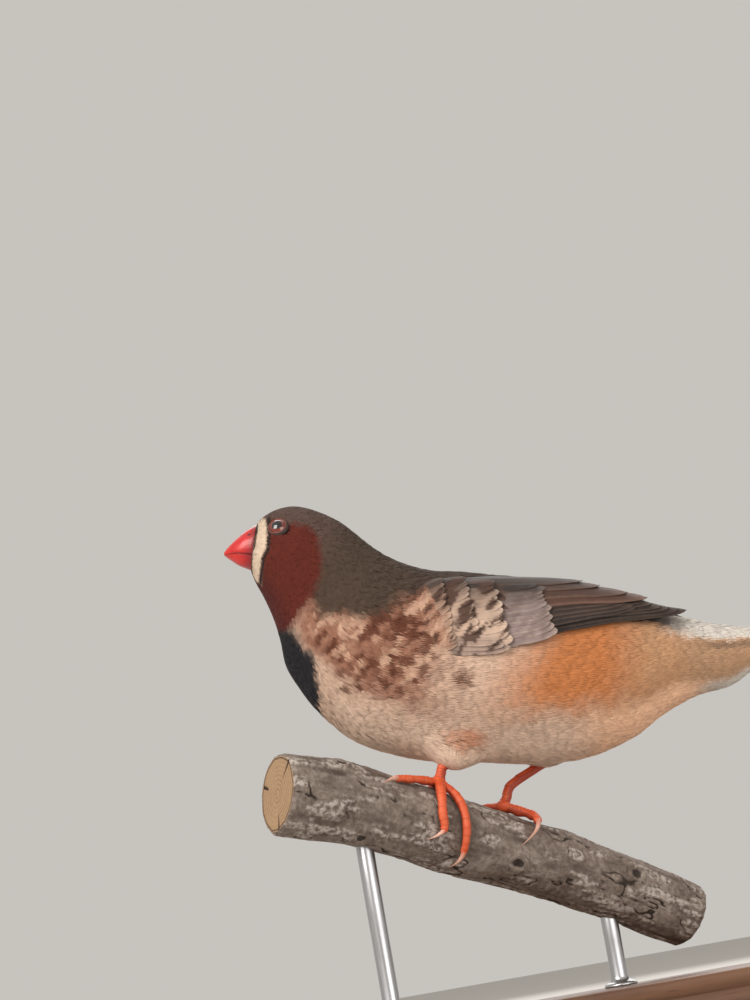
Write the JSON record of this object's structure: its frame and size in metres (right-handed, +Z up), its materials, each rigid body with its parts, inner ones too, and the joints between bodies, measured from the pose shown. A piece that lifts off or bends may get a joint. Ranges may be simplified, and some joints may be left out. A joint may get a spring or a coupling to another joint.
{
  "type": "zebra finch on a perch and display stand",
  "caption": "Life-size still model of a zebra finch gripping a short cut length of branch, held on a flat display base by short rods.",
  "frame": {"origin": "centre of the underside of the display base", "axes": "+Z up; the bird faces -X; its left side is towards -Y"},
  "size_m": [0.1107, 0.068, 0.1115],
  "materials": {
    "plumage_head": "soft feather, matt",
    "plumage_neck": "soft feather, matt",
    "plumage_body": "soft feather, matt",
    "plumage_rump": "soft feather, matt",
    "plumage_wing": "smooth vaned feather, faint sheen",
    "plumage_tail": "smooth vaned feather, faint sheen",
    "plumage_thigh": "soft down",
    "bill": "satin horn",
    "eye": "wet gloss",
    "leg_skin": "scaly skin, satin",
    "claw": "satin horn",
    "bark": "rough bark",
    "stand_wood": "oiled, satin",
    "stand_metal": "brushed"
  },
  "bodies": {
    "root": {"head": "plumage_head", "neck": "plumage_neck", "torso": "plumage_body", "rump": "plumage_rump", "tail": "plumage_tail", "bill_upper": "bill", "bill_lower": "bill", "perch": "bark", "stand_base": "stand_wood", "stand_rod_front": "stand_metal", "stand_rod_rear": "stand_metal", "eye_left": "eye", "wing_left": "plumage_wing", "thigh_left": "plumage_thigh", "shank_left": "leg_skin", "foot_left": "leg_skin", "claw_left_inner": "claw", "claw_left_middle": "claw", "claw_left_outer": "claw", "claw_left_hind": "claw", "eye_right": "eye", "wing_right": "plumage_wing", "thigh_right": "plumage_thigh", "shank_right": "leg_skin", "foot_right": "leg_skin", "claw_right_inner": "claw", "claw_right_middle": "claw", "claw_right_outer": "claw", "claw_right_hind": "claw"}
  },
  "joints": []
}
